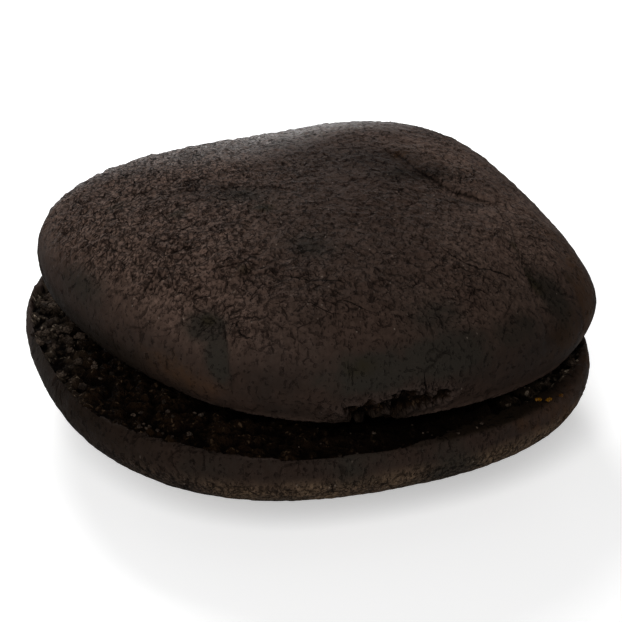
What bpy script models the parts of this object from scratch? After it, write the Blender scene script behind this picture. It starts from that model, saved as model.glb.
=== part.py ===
"""A chocolate whoopie pie: two small soft cakes laid together, torn side in.

Metres, +Z up. The origin is on the surface that the pie rests on, under the middle of the pie's
outline. The lower cake lies crown down with its torn crumb face up. The upper cake lies crown up
on it, set a little to the back and right and tilted down to the right, so a wedge-shaped gap
stays open round the left and the front (-Y). No filling shows in that gap, and none is modelled.
"""

import math
from dataclasses import dataclass

import bmesh
import bpy
import numpy as np
from mathutils import Matrix, Vector

MM = 0.001

# Driving dimensions. Each cake is a turned bun, then given lobes, a lean and dents.
TURN_STEPS = 72
DOME_RINGS = 18
LIP_RINGS = 5
FACE_RINGS = 6
CLEARANCE = 0.3 * MM  # left between the cakes where one rests on the other
FLAT_DEPTH = 0.8 * MM  # how far the lower crown is pressed flat by the pie's weight
FACE_CROWN = 0.6 * MM  # the lower cake's torn face is highest in its middle
FACE_RECESS = 0.7 * MM  # and dips just inside the skin's edge
RECESS_SHARE = 0.90  # where that dip is, as a share of the radius
RECESS_WIDTH = 0.05
SEAT_SHARE = 0.60  # of the upper cake's radius that lies flat on the lower cake
FREE_SHARE = 0.86  # of that radius where the upper cake's underside has its own shape again
RIM_REACH = 1.05  # how far out the lower cake's rim could touch the upper cake, per radius
WAVE_HEIGHT = 0.16 * MM  # the slow unevenness of a hand-spooned batter
WAVE_LENGTH = 17.0 * MM
WAVE_SPREAD = 0.35  # how much longer or shorter than that single waves are
WAVE_CLIMB = 0.5  # how steeply they may cross the cake's height
WAVES = 5
GOLDEN_ANGLE = math.radians(137.5)
CROWN_GRIP = 1.5  # lean and slide grow with this power of the height, so the torn face stays put
DENT_REACH = 2.0  # how deep into the cake a dent is felt, per its width
NUDGE = 0.01  # share of the radius, or turn, over which a crown's directions are measured
WELD = 0.01 * MM
SHARP_ANGLE = math.radians(40)


@dataclass(frozen=True)
class Cake:
    """One bun, in its own frame: the torn face at height 0 and the crown away from it."""

    radius: float  # of the circle that the outline wanders about
    rise: float  # from the torn face to the crown
    edge_rise: float  # from the torn face to the widest line
    edge_share: float  # what the torn face stops short of the widest line, per radius
    flank: float  # 2 is an ellipse's flank; more is fuller
    crown: float  # 2 is an ellipse's crown; less is more pointed
    lobes: dict  # waves round the outline: number to (cosine, sine) per radius
    lean: tuple  # growth of the rise towards +X and +Y, per radius
    saddle: tuple  # the same for the two quadratic terms, x*x - y*y and 2*x*y
    slide: tuple  # how far the crown has slid along X and Y
    place: tuple  # where the middle of the torn face is, before the pie is set down
    tilt: float  # turn about Y that takes the right side down
    pitch: float  # turn about X that takes the front down


@dataclass(frozen=True)
class Dent:
    """A hollow in a crown, or a swelling if its depth is below 0."""

    angle: float  # round the cake from +X, in degrees
    share: float  # of the radius, from the axis
    length: float  # along the line that runs down the flank, before the turn
    width: float
    turn: float  # of the length from the line down the flank, in degrees
    depth: float


UPPER = Cake(
    radius=42.2 * MM, rise=22.8 * MM, edge_rise=6.5 * MM, edge_share=0.084,
    flank=2.42, crown=1.85,
    lobes={2: (-0.003, 0.006), 3: (-0.033, -0.006), 4: (0.020, -0.037), 5: (0.005, -0.004)},
    lean=(0.006, -0.032), saddle=(-0.009, 0.161), slide=(1.9 * MM, -2.3 * MM),
    place=(0.5 * MM, 3.0 * MM, 21.3 * MM), tilt=math.radians(4.6), pitch=math.radians(-0.8),
)  # fmt: skip
LOWER = Cake(
    radius=44.1 * MM, rise=17.2 * MM, edge_rise=2.7 * MM, edge_share=0.026,
    flank=2.15, crown=2.12,
    lobes={2: (0.006, -0.006), 3: (0.015, 0.003), 4: (-0.002, -0.027)},
    lean=(0.060, 0.075), saddle=(0.0, 0.0), slide=(0.0, 0.0),
    place=(-1.2 * MM, 0.1 * MM, 19.3 * MM), tilt=math.radians(1.6), pitch=0.0,
)  # fmt: skip

# Hollows and swellings of the upper crown that are wide enough to feel
UPPER_DENTS = (
    Dent(angle=246, share=0.86, length=8 * MM, width=3.6 * MM, turn=-25, depth=0.9 * MM),
    Dent(angle=331, share=0.90, length=8 * MM, width=4.5 * MM, turn=-20, depth=1.2 * MM),
    Dent(angle=283, share=0.93, length=4.5 * MM, width=9 * MM, turn=0, depth=0.6 * MM),
    Dent(angle=286, share=0.985, length=3.5 * MM, width=9 * MM, turn=0, depth=1.0 * MM),
    Dent(angle=258, share=0.50, length=6 * MM, width=7 * MM, turn=0, depth=0.5 * MM),
    Dent(angle=350, share=0.40, length=7 * MM, width=8 * MM, turn=0, depth=0.8 * MM),
    Dent(angle=56, share=0.52, length=13 * MM, width=15 * MM, turn=0, depth=-1.1 * MM),
    Dent(angle=351, share=1.0, length=5 * MM, width=9 * MM, turn=0, depth=-1.3 * MM),
)
# Where the lower cake sagged at its right end while it cooled
LOWER_DENTS = (Dent(angle=8, share=1.0, length=3.5 * MM, width=8 * MM, turn=0, depth=0.6 * MM),)

# The look of the plain model: a dry crust on the upper cake, moist crumb on the lower one
UPPER_COLOUR = (0.030, 0.019, 0.014, 1.0)
UPPER_ROUGHNESS = 0.6
LOWER_COLOUR = (0.016, 0.010, 0.007, 1.0)
LOWER_ROUGHNESS = 0.9


def clear_scene():
    for thing in list(bpy.data.objects):
        bpy.data.objects.remove(thing, do_unlink=True)


def cake_material(name, colour, roughness):
    material = bpy.data.materials.new(name)
    material.use_nodes = True
    shader = material.node_tree.nodes["Principled BSDF"]
    shader.inputs["Base Color"].default_value = colour
    shader.inputs["Roughness"].default_value = roughness
    shader.inputs["Metallic"].default_value = 0.0
    material.diffuse_color = colour
    return material


def smoothstep(low, high, value):
    share = np.clip((value - low) / (high - low), 0.0, 1.0)
    return share * share * (3.0 - 2.0 * share)


def profile(cake):
    """(radius, height) from the crown's pole over the flank and the lip, and in along the face."""
    points = []
    for ring in range(DOME_RINGS):
        u = math.pi / 2 * (1 - ring / DOME_RINGS)
        share = max(math.cos(u), 0.0) ** (2 / cake.flank)
        height = cake.edge_rise + (cake.rise - cake.edge_rise) * math.sin(u) ** (2 / cake.crown)
        points.append((share, height))
    for ring in range(LIP_RINGS):
        v = math.pi / 2 * ring / LIP_RINGS
        share = 1 - cake.edge_share * (1 - math.cos(v))
        points.append((share, cake.edge_rise * (1 - math.sin(v))))
    for ring in range(FACE_RINGS + 1):
        points.append(((1 - cake.edge_share) * (1 - ring / FACE_RINGS), 0.0))
    return [(cake.radius * share, height) for share, height in points]


def turned(name, outline, collection):
    """A closed bun: the outline, which runs down its outer side, turned about Z."""
    mesh = bpy.data.meshes.new(name + "_profile")
    points = [(radius, 0.0, height) for radius, height in outline]
    mesh.from_pydata(points, [(i, i + 1) for i in range(len(points) - 1)], [])
    guide = bpy.data.objects.new(name + "_profile", mesh)
    bpy.context.scene.collection.objects.link(guide)
    screw = guide.modifiers.new("turn", "SCREW")
    screw.axis = "Z"
    screw.angle = math.tau
    screw.steps = TURN_STEPS
    screw.render_steps = TURN_STEPS
    screw.use_merge_vertices = True
    screw.merge_threshold = WELD
    bpy.context.view_layer.update()
    evaluated = guide.evaluated_get(bpy.context.evaluated_depsgraph_get())
    body = bpy.data.meshes.new_from_object(evaluated)
    bpy.data.objects.remove(guide, do_unlink=True)
    bun = bpy.data.objects.new(name, body)
    collection.objects.link(bun)
    return bun


def read_points(thing):
    flat = np.empty(len(thing.data.vertices) * 3)
    thing.data.vertices.foreach_get("co", flat)
    return flat.reshape(-1, 3)


def write_points(thing, points):
    thing.data.vertices.foreach_set("co", points.ravel())
    thing.data.update()


def moved(points, matrix):
    """Points taken through a 4x4 matrix."""
    turn = np.array(matrix.to_3x3())
    return points @ turn.T + np.array(matrix.translation)


def outline_share(cake, angle):
    """How far the outline stands out at each angle, per radius."""
    share = np.ones_like(angle)
    for lobe, (cosine, sine) in cake.lobes.items():
        share += cosine * np.cos(lobe * angle) + sine * np.sin(lobe * angle)
    return share


def shaped(cake, points, way):
    """A turned bun's points with the cake's lobes, lean and slid crown. way is 1 for a crown that
    points up and -1 for one that points down."""
    angle = np.arctan2(points[:, 1], points[:, 0])
    share = outline_share(cake, angle)
    x = points[:, 0] * share
    y = points[:, 1] * share
    height = points[:, 2] * way
    rise_share = np.clip(height / cake.rise, 0.0, None) ** CROWN_GRIP
    growth = cake.lean[0] * x / cake.radius + cake.lean[1] * y / cake.radius
    growth += cake.saddle[0] * (x * x - y * y) / cake.radius**2
    growth += cake.saddle[1] * 2 * x * y / cake.radius**2
    x = x + cake.slide[0] * rise_share
    y = y + cake.slide[1] * rise_share
    return np.stack([x, y, way * height * (1 + growth * rise_share)], axis=1)


def dome_point(cake, angle, share, way):
    """The shaped crown's point at an angle and at a share of the radius, 1 at most."""
    u = math.acos(share ** (cake.flank / 2))
    height = cake.edge_rise + (cake.rise - cake.edge_rise) * math.sin(u) ** (2 / cake.crown)
    point = [cake.radius * share * math.cos(angle), cake.radius * share * math.sin(angle), way * height]
    return shaped(cake, np.array([point]), way)[0]


def dented(cake, points, dents, way):
    """Points pushed along the crown's own normal at each dent."""
    for dent in dents:
        angle = math.radians(dent.angle)
        centre = dome_point(cake, angle, dent.share, way)
        along = centre - dome_point(cake, angle, dent.share - NUDGE, way)
        along /= np.linalg.norm(along)
        around = dome_point(cake, angle + NUDGE, dent.share, way) - centre
        around -= along * (around @ along)
        around /= np.linalg.norm(around)
        normal = np.cross(along, around) * way
        turn = math.radians(dent.turn)
        long_way = along * math.cos(turn) + around * math.sin(turn)
        short_way = around * math.cos(turn) - along * math.sin(turn)
        offset = points - centre
        spread = (offset @ long_way / dent.length) ** 2 + (offset @ short_way / dent.width) ** 2
        spread += (offset @ normal / (DENT_REACH * dent.width)) ** 2
        points = points - normal * (dent.depth * np.exp(-spread))[:, None]
    return points


def uneven(points):
    """Height of slow waves that cross in several directions, between -1 and 1."""
    height = np.zeros(len(points))
    for wave in range(WAVES):
        heading = wave * GOLDEN_ANGLE
        way = np.array([math.cos(heading), math.sin(heading), WAVE_CLIMB * math.sin(2 * heading)])
        length = WAVE_LENGTH * (1 + WAVE_SPREAD * math.sin(3 * heading))
        height += np.sin(points @ way * math.tau / length + wave)
    return height / WAVES


def swelled(cake, points):
    """The same points, moved in or out from the middle of the bun by the slow unevenness."""
    out = points - np.array([0.0, 0.0, cake.edge_rise])
    out /= np.maximum(np.linalg.norm(out, axis=1), MM)[:, None]
    return points + out * (WAVE_HEIGHT * uneven(points))[:, None]


def torn_face_height(share):
    """Height of the lower cake's crumb at a share of its radius: a low middle hump, and a dip
    inside the skin's edge."""
    edge = 1 - LOWER.edge_share
    hump = FACE_CROWN * (1 - np.clip(share / edge, 0, 1) ** 2)
    dip = FACE_RECESS * np.exp(-(((share - RECESS_SHARE) / RECESS_WIDTH) ** 2))
    return hump - dip


def place(thing, cake, pie):
    turn = Matrix.Rotation(cake.pitch, 4, "X") @ Matrix.Rotation(cake.tilt, 4, "Y")
    thing.location = cake.place
    thing.rotation_euler = turn.to_euler()
    thing.parent = pie
    bpy.context.view_layer.update()


def make_lower_cake(collection, pie):
    outline = [(radius, -height) for radius, height in reversed(profile(LOWER))]
    cake = turned("cake_bottom", outline, collection)
    points = read_points(cake)
    share = np.hypot(points[:, 0], points[:, 1]) / LOWER.radius
    on_face = (points[:, 2] > -WELD) & (share < 1 - LOWER.edge_share - WELD / LOWER.radius)
    points = shaped(LOWER, points, -1)
    points = dented(LOWER, points, LOWER_DENTS, -1)
    points = swelled(LOWER, points)
    points[on_face, 2] += torn_face_height(share[on_face])
    write_points(cake, points)
    cake.data.materials.append(cake_material("lower_cake", LOWER_COLOUR, LOWER_ROUGHNESS))
    place(cake, LOWER, pie)
    return cake


def make_upper_cake(collection, pie):
    cake = turned("cake_top", profile(UPPER), collection)
    points = shaped(UPPER, read_points(cake), 1)
    points = dented(UPPER, points, UPPER_DENTS, 1)
    write_points(cake, swelled(UPPER, points))
    cake.data.materials.append(cake_material("upper_cake", UPPER_COLOUR, UPPER_ROUGHNESS))
    place(cake, UPPER, pie)
    return cake


def seat(upper, lower):
    """Settles the middle of the upper cake's underside flat on the lower cake's torn face, and
    keeps its round lower edge clear of the lower cake where the two nearly meet."""
    points = read_points(upper)
    reach = np.hypot(points[:, 0], points[:, 1]) / UPPER.radius
    under = (points[:, 2] < 0.5 * UPPER.edge_rise) & (reach < FREE_SHARE)
    pull = np.where(under, 1 - smoothstep(SEAT_SHARE, FREE_SHARE, reach), 0.0)
    on_lower = moved(points, lower.matrix_world.inverted() @ upper.matrix_world)
    lower_share = np.hypot(on_lower[:, 0], on_lower[:, 1]) / LOWER.radius
    clear = WAVE_HEIGHT + CLEARANCE
    on_lower[:, 2] += pull * (FACE_CROWN + clear - on_lower[:, 2])
    lowest = np.maximum(torn_face_height(lower_share), 0.0) + clear
    on_lower[:, 2] = np.maximum(on_lower[:, 2], np.where(lower_share < RIM_REACH, lowest, -np.inf))
    write_points(upper, moved(on_lower, upper.matrix_world.inverted() @ lower.matrix_world))


def press_flat(lower):
    """Flattens the lowest part of the lower crown to a small level spot, and gives its height."""
    points = moved(read_points(lower), lower.matrix_world)
    floor = points[:, 2].min() + FLAT_DEPTH
    points[:, 2] = np.maximum(points[:, 2], floor)
    write_points(lower, moved(points, lower.matrix_world.inverted()))
    return floor


def set_down(pie, cakes, floor):
    """Moves the pie so that it rests on Z 0 with the middle of its outline at the origin."""
    points = np.concatenate([moved(read_points(cake), cake.matrix_world) for cake in cakes])
    middle = (points.min(axis=0) + points.max(axis=0)) / 2
    pie.location = Vector((-middle[0], -middle[1], -floor))
    bpy.context.view_layer.update()


def finish(cake):
    """Joins the turned seams, and shades the bun smooth."""
    mesh = bmesh.new()
    mesh.from_mesh(cake.data)
    bmesh.ops.remove_doubles(mesh, verts=mesh.verts, dist=WELD)
    mesh.to_mesh(cake.data)
    mesh.free()
    cake.data.shade_smooth()
    cake.data.set_sharp_from_angle(angle=SHARP_ANGLE)


def main():
    clear_scene()
    collection = bpy.data.collections.new("whoopie_pie")
    bpy.context.scene.collection.children.link(collection)
    pie = bpy.data.objects.new("pie", None)
    collection.objects.link(pie)
    lower = make_lower_cake(collection, pie)
    upper = make_upper_cake(collection, pie)
    seat(upper, lower)
    floor = press_flat(lower)
    set_down(pie, (lower, upper), floor)
    for cake in (lower, upper):
        finish(cake)


main()
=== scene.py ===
import math

import bmesh
import bpy
import numpy as np
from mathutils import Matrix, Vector
from mathutils.bvhtree import BVHTree


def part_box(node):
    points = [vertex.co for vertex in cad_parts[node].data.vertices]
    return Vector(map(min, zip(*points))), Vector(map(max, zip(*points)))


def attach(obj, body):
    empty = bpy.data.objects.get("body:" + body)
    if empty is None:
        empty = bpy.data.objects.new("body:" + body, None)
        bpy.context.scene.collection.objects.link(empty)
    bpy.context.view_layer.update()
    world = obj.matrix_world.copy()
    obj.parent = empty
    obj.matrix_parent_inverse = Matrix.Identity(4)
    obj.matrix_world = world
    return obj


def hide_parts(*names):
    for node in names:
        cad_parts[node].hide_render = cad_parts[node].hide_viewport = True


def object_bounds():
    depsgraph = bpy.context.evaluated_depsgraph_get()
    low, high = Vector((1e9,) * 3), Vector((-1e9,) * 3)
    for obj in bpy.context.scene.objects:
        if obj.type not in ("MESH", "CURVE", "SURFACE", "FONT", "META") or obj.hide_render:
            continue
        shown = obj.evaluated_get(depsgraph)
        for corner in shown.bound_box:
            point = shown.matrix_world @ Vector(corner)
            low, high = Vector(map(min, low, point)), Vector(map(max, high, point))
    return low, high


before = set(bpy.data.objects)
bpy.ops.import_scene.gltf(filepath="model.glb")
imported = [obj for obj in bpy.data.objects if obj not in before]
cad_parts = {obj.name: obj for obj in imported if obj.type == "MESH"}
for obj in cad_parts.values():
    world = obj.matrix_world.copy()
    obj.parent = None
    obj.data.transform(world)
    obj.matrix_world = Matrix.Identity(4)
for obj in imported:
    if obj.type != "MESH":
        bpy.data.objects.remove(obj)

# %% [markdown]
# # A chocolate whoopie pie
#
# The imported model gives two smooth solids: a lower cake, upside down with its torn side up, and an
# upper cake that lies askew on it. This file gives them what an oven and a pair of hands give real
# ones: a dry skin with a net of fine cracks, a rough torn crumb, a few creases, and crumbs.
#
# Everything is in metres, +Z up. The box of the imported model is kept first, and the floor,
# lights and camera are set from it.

MM = 0.001
CAD_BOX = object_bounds()
LOW, HIGH = (Vector(corner) for corner in CAD_BOX)
MIDDLE = (LOW + HIGH) / 2
print("packed model, mm:", [round(side / MM, 1) for side in HIGH - LOW])


# %% [markdown]
# ## Where things are on a cake
#
# Creases, stains and torn spots are placed by shares of a cake's own box: (0, 0, 1) is the middle
# of its top, (1, 0, 0) the middle of its right side. That way a place says what it means, and it
# follows the frame if the frame changes.

# %% Places from shares of a box
def on_cake(node, share):
    """The point of a cake's box at a share of its half sides, from the box's middle."""
    low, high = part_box(node)
    middle = (low + high) / 2
    half = (high - low) / 2
    return np.array([middle[i] + share[i] * half[i] for i in range(3)])


def smoothstep(low, high, value):
    """0 at low, 1 at high, and a smooth climb between them. Low may be the larger one."""
    share = np.clip((value - low) / (high - low), 0.0, 1.0)
    return share * share * (3.0 - 2.0 * share)


def ellipse(points, centre, along, radii):
    """1 at a centre, falling to 0 past an egg-shaped reach whose long side points along a way."""
    way = np.array(along, float)
    way /= np.linalg.norm(way)
    offset = points - centre
    down = offset @ way
    across = np.linalg.norm(offset - down[:, None] * way, axis=1)
    return np.exp(-((down / radii[0]) ** 2) - (across / radii[1]) ** 2)


print("upper cake's top, mm:", (on_cake("cake_top", (0, 0, 1)) / MM).round(1))


# %% [markdown]
# ## A fine, even skin of quads
#
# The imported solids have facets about 4 mm wide. Cracks need a mesh that is ten times finer. A
# voxel remesh would do, but it leaves a faint grid and no usable UV map. So each cake is wrapped
# the way a retopology is: a cube is cut into an even grid, blown up to a ball, and every point of
# the ball is sent out along a ray until it meets the cake. The cube's six sides are also a tidy
# UV map.

# %% The cage: a finely cut cube
def cut_cube(name, cuts):
    """A cube from -1 to 1 with every side cut into an even grid."""
    cage = bmesh.new()
    bmesh.ops.create_cube(cage, size=2.0)
    bmesh.ops.subdivide_edges(cage, edges=cage.edges, cuts=cuts - 1, use_grid_fill=True)
    mesh = bpy.data.meshes.new(name)
    cage.to_mesh(mesh)
    cage.free()
    return mesh


# %% The UV map: six sides in six cells
CELL_MARGIN = 0.012


def lay_out_sides(mesh):
    """The UV map named OFBake, three cells across and two up: each side fills one cell."""
    flat = np.empty(len(mesh.vertices) * 3)
    mesh.vertices.foreach_get("co", flat)
    points = flat.reshape(-1, 3)
    corners = np.empty(len(mesh.loops), int)
    mesh.loops.foreach_get("vertex_index", corners)
    corner_points = points[corners].reshape(-1, 4, 3)
    middles = corner_points.mean(axis=1)
    side_axis = np.abs(middles).argmax(axis=1)
    positive = np.take_along_axis(middles, side_axis[:, None], 1)[:, 0] > 0
    cell_size = np.array([1 / 3, 1 / 2])
    uv = np.empty((len(middles), 4, 2))
    for axis in range(3):
        for up in (False, True):
            faces = (side_axis == axis) & (positive == up)
            others = [(axis + 1) % 3, (axis + 2) % 3]
            cell = np.array([axis / 3, 0.5 * up])
            inside = (corner_points[faces][:, :, others] + 1) / 2
            uv[faces] = cell + (CELL_MARGIN + inside * (1 - 2 * CELL_MARGIN)) * cell_size
    layer = mesh.uv_layers.new(name="OFBake")
    layer.data.foreach_set("uv", uv.ravel())


# %% [markdown]
# ### What the cage shrinks on
#
# The solids' facets would show through the wrap. So each solid is copied, its triangles are joined
# to quads, and two levels of subdivision round them into a smooth surface that lies close to them.

# %% A smooth copy of a solid, to shoot rays at
WELD = 0.01 * MM
NEARLY_FLAT = 0.7
ROUNDING_LEVELS = 2


def smooth_target(node):
    """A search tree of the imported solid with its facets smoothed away."""
    body = bpy.data.objects.new(node + "_smooth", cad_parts[node].data.copy())
    bpy.context.scene.collection.objects.link(body)
    welded = bmesh.new()
    welded.from_mesh(body.data)
    bmesh.ops.remove_doubles(welded, verts=welded.verts, dist=WELD)
    bmesh.ops.join_triangles(
        welded, faces=welded.faces,
        angle_face_threshold=NEARLY_FLAT, angle_shape_threshold=NEARLY_FLAT,
    )  # fmt: skip
    welded.to_mesh(body.data)
    welded.free()
    body.modifiers.new("round", "SUBSURF").levels = ROUNDING_LEVELS
    bpy.context.view_layer.update()
    tree = BVHTree.FromObject(body, bpy.context.evaluated_depsgraph_get())
    bpy.data.objects.remove(body, do_unlink=True)
    return tree


# %% [markdown]
# ### Even steps down the sides
#
# A cake is flat, so rays at even angles would crowd at its rim and leave its top bare. A few
# slices through the cake tell how long its outline is, and the rays are set out evenly along it.
# Where the two cakes lie on each other nothing shows, so there the steps may be longer.

# %% Rays that land evenly
HIDDEN_SHARE = 0.62
HIDDEN_DENSITY = 0.3
SLICES = 12
OUTLINE_STEPS = 361
POLE_GAP = 0.001


def ray_ways(around, polar):
    """Ways that point at these angles round and down from the top."""
    return np.stack(
        [np.sin(polar) * np.cos(around), np.sin(polar) * np.sin(around), np.cos(polar)], axis=-1
    )


def polar_steps(tree, middle, torn_up):
    """The share of the outline that lies above each polar angle, and the angles."""
    polar = np.linspace(POLE_GAP, math.pi - POLE_GAP, OUTLINE_STEPS)
    run = np.zeros(len(polar))
    for around in np.arange(0, math.tau, math.tau / SLICES):
        line = np.array([tree.ray_cast(middle, Vector(way))[0] for way in ray_ways(around, polar)])
        steps = np.linalg.norm(np.diff(line, axis=0), axis=1)
        radius = np.hypot(*(line[1:, :2] - np.array(middle)[:2]).T)
        torn_side = (polar[1:] < math.pi / 2) == torn_up
        hidden = torn_side & (radius < HIDDEN_SHARE * radius.max())
        steps[hidden] *= HIDDEN_DENSITY
        run[1:] += np.cumsum(steps) / SLICES
    return run / run[-1], polar


# %% Wrapping the cage round a cake
def wrapped(name, node, cuts, torn_up):
    """A finely meshed copy of a cake. Each point also keeps its place as "rest", which the
    formulas read, so that the relief doesn't drag them along."""
    mesh = cut_cube(name, cuts)
    lay_out_sides(mesh)
    flat = np.empty(len(mesh.vertices) * 3)
    mesh.vertices.foreach_get("co", flat)
    ball = np.tan(flat.reshape(-1, 3) * math.pi / 4)
    ball /= np.linalg.norm(ball, axis=1)[:, None]
    tree = smooth_target(node)
    low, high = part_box(node)
    middle = (low + high) / 2
    share, polar = polar_steps(tree, middle, torn_up)
    fall = np.interp(np.arccos(np.clip(ball[:, 2], -1, 1)) / math.pi, share, polar)
    around = np.arctan2(ball[:, 1], ball[:, 0])
    points = np.array([tree.ray_cast(middle, Vector(way))[0] for way in ray_ways(around, fall)])
    mesh.vertices.foreach_set("co", points.ravel())
    rest = mesh.attributes.new("rest", "FLOAT_VECTOR", "POINT")
    rest.data.foreach_set("vector", points.ravel())
    mesh.update()
    cake = bpy.data.objects.new(name, mesh)
    bpy.context.scene.collection.objects.link(cake)
    areas = np.empty(len(mesh.polygons))
    mesh.polygons.foreach_get("area", areas)
    usual = round(math.sqrt(np.median(areas)) / MM, 2)
    print(name, "has", len(areas), "quads, the middling one", usual, "mm wide")
    return cake


# %% The two wrapped cakes
CUTS = 127
upper = wrapped("upper_cake", "cake_top", CUTS, torn_up=False)
lower = wrapped("lower_cake", "cake_bottom", CUTS, torn_up=True)


# %% [markdown]
# ## One set of formulas for shape and for shading
#
# The same cracks have to dent the mesh and darken the colour, so each formula is written once,
# with nodes that geometry and materials share, and built in both kinds of node tree. A small
# helper class keeps the formulas readable.

# %% A helper that writes formulas as nodes
class Formula:
    """Adds nodes to one tree. Each method takes numbers or sockets and returns a socket."""

    def __init__(self, tree):
        self.tree = tree

    def node(self, kind, **settings):
        made = self.tree.nodes.new(kind)
        for name, value in settings.items():
            setattr(made, name, value)
        return made

    def feed(self, socket, value):
        if isinstance(value, bpy.types.NodeSocket):
            self.tree.links.new(value, socket)
        else:
            socket.default_value = value

    def math(self, operation, *values):
        made = self.node("ShaderNodeMath", operation=operation)
        for socket, value in zip(made.inputs, values):
            self.feed(socket, value)
        return made.outputs[0]

    def product(self, first, *others):
        for other in others:
            first = self.math("MULTIPLY", first, other)
        return first

    def total(self, first, *others):
        for other in others:
            first = self.math("ADD", first, other)
        return first

    def largest(self, first, *others):
        for other in others:
            first = self.math("MAXIMUM", first, other)
        return first

    def less(self, first, second):
        return self.math("SUBTRACT", first, second)

    def ramp(self, value, low, high, to_low=0.0, to_high=1.0):
        """value taken smoothly from low..high to to_low..to_high."""
        made = self.node("ShaderNodeMapRange", interpolation_type="SMOOTHSTEP")
        for name, number in (
            ("Value", value), ("From Min", low), ("From Max", high),
            ("To Min", to_low), ("To Max", to_high),
        ):  # fmt: skip
            self.feed(made.inputs[name], number)
        return made.outputs["Result"]


# %% [markdown]
# ### Noise and cells
#
# Two textures do nearly all the work. Noise makes soft clouds, which decide where something shows
# and how thick it is. Voronoi cells make what has edges: plates of skin, clumps of crumb, pebbles.

# %% Noise, cells and painted numbers
class Texture(Formula):
    """A formula with the textures that skin and crumb are made of."""

    def noise(self, place, size, detail=2.0, roughness=0.5, output="Fac"):
        """Cloudy noise from 0 to 1, with blotches of about that size."""
        made = self.node("ShaderNodeTexNoise", noise_dimensions="3D")
        self.feed(made.inputs["Vector"], place)
        self.feed(made.inputs["Scale"], 1 / size)
        self.feed(made.inputs["Detail"], detail)
        self.feed(made.inputs["Roughness"], roughness)
        return made.outputs[output]

    def waves(self, place, size, detail=2.0, roughness=0.5):
        """The same noise, from -0.5 to 0.5."""
        return self.less(self.noise(place, size, detail, roughness), 0.5)

    def cells(self, place, size, feature="F1", smoothness=None):
        """A Voronoi texture whose cells are about that size."""
        made = self.node("ShaderNodeTexVoronoi", voronoi_dimensions="3D", feature=feature)
        self.feed(made.inputs["Vector"], place)
        self.feed(made.inputs["Scale"], 1 / size)
        if smoothness is not None:
            self.feed(made.inputs["Smoothness"], smoothness)
        return made

    def parts(self, colour):
        """The three channels of a colour, which serve as three random numbers."""
        shading = self.tree.bl_idname == "ShaderNodeTree"
        made = self.node("ShaderNodeSeparateColor" if shading else "FunctionNodeSeparateColor")
        self.feed(made.inputs[0], colour)
        return made.outputs

    def wobbled(self, place, size, amount):
        """A place pushed about by noise, so that what is drawn there isn't straight."""
        centred = self.node("ShaderNodeVectorMath", operation="SUBTRACT")
        self.feed(centred.inputs[0], self.noise(place, size, 1.0, output="Color"))
        centred.inputs[1].default_value = (0.5, 0.5, 0.5)
        pushed = self.node("ShaderNodeVectorMath", operation="MULTIPLY_ADD")
        self.feed(pushed.inputs[0], centred.outputs[0])
        pushed.inputs[1].default_value = (amount, amount, amount)
        self.feed(pushed.inputs[2], place)
        return pushed.outputs[0]

    def squeezed(self, place, stretch):
        """A place with its height scaled, so that what is drawn there stands upright."""
        scale = self.node("ShaderNodeCombineXYZ")
        scale.inputs["X"].default_value = 1.0
        scale.inputs["Y"].default_value = 1.0
        self.feed(scale.inputs["Z"], stretch)
        made = self.node("ShaderNodeVectorMath", operation="MULTIPLY")
        self.feed(made.inputs[0], place)
        self.feed(made.inputs[1], scale.outputs[0])
        return made.outputs[0]


# %% An empty node group
TREE_USES = {"GeometryNodeTree": "shape", "ShaderNodeTree": "colour"}


def new_group(name, kind, inputs, outputs):
    """A node group with named inputs, each with its usual value, and named outputs."""
    group = bpy.data.node_groups.new(name + " for " + TREE_USES[kind], kind)
    for label, socket_type, usual in inputs:
        socket = group.interface.new_socket(label, in_out="INPUT", socket_type=socket_type)
        if usual is not None:
            socket.default_value = usual
    for label in outputs:
        group.interface.new_socket(label, in_out="OUTPUT", socket_type="NodeSocketFloat")
    given = group.nodes.new("NodeGroupInput")
    result = group.nodes.new("NodeGroupOutput")
    return group, given.outputs, result.inputs


# %% [markdown]
# ### The cracked skin
#
# A chocolate cake's skin dries before the crumb under it stops rising, so it tears into small
# plates. The tears are short and join up only here and there. Four nets of cell edges are laid
# over each other, from large and sparse to small and dense. Noise decides where each tear shows,
# which breaks the nets into dashes, and how wide it gapes. Beside a tear the plate curls up.

# %% One broken net of tears
class Skin(Texture):
    """A formula at a place on the skin, where the skin is so coarse."""

    def __init__(self, tree, place, coarse, stretch):
        super().__init__(tree)
        self.place = place
        self.coarse = coarse
        upright = self.squeezed(place, stretch)
        self.bent = self.wobbled(self.wobbled(upright, 1.8 * MM, 0.4 * MM), 0.5 * MM, 0.14 * MM)
        self.thickness = self.ramp(self.noise(place, 0.5 * MM, 1.0), 0.35, 0.65, 0.3, 1.7)

    def by_coarse(self, smooth, rough):
        """A number that changes with how coarse the skin is."""
        return self.ramp(self.coarse, 0, 1, smooth, rough)

    def tears(self, size, width, patchiness, least, most):
        """Two masks: the tears of one net of cells, and the plates' curled edges beside them.
        The sizes are in millimetres."""
        share = width / size
        edge = self.cells(self.bent, size * MM, "DISTANCE_TO_EDGE").outputs["Distance"]
        shows = self.total(self.noise(self.place, patchiness * MM, 1.0), self.by_coarse(least, most))
        shows = self.ramp(shows, 0.46, 0.60)
        reach = self.total(self.product(shows, self.thickness, share), 0.001)
        near = self.ramp(edge, 0.0, reach, 1.0, 0.0)
        curl = self.ramp(edge, share, 3.0 * share, 1.0, 0.0)
        return self.product(near, shows), self.product(curl, shows)


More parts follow.
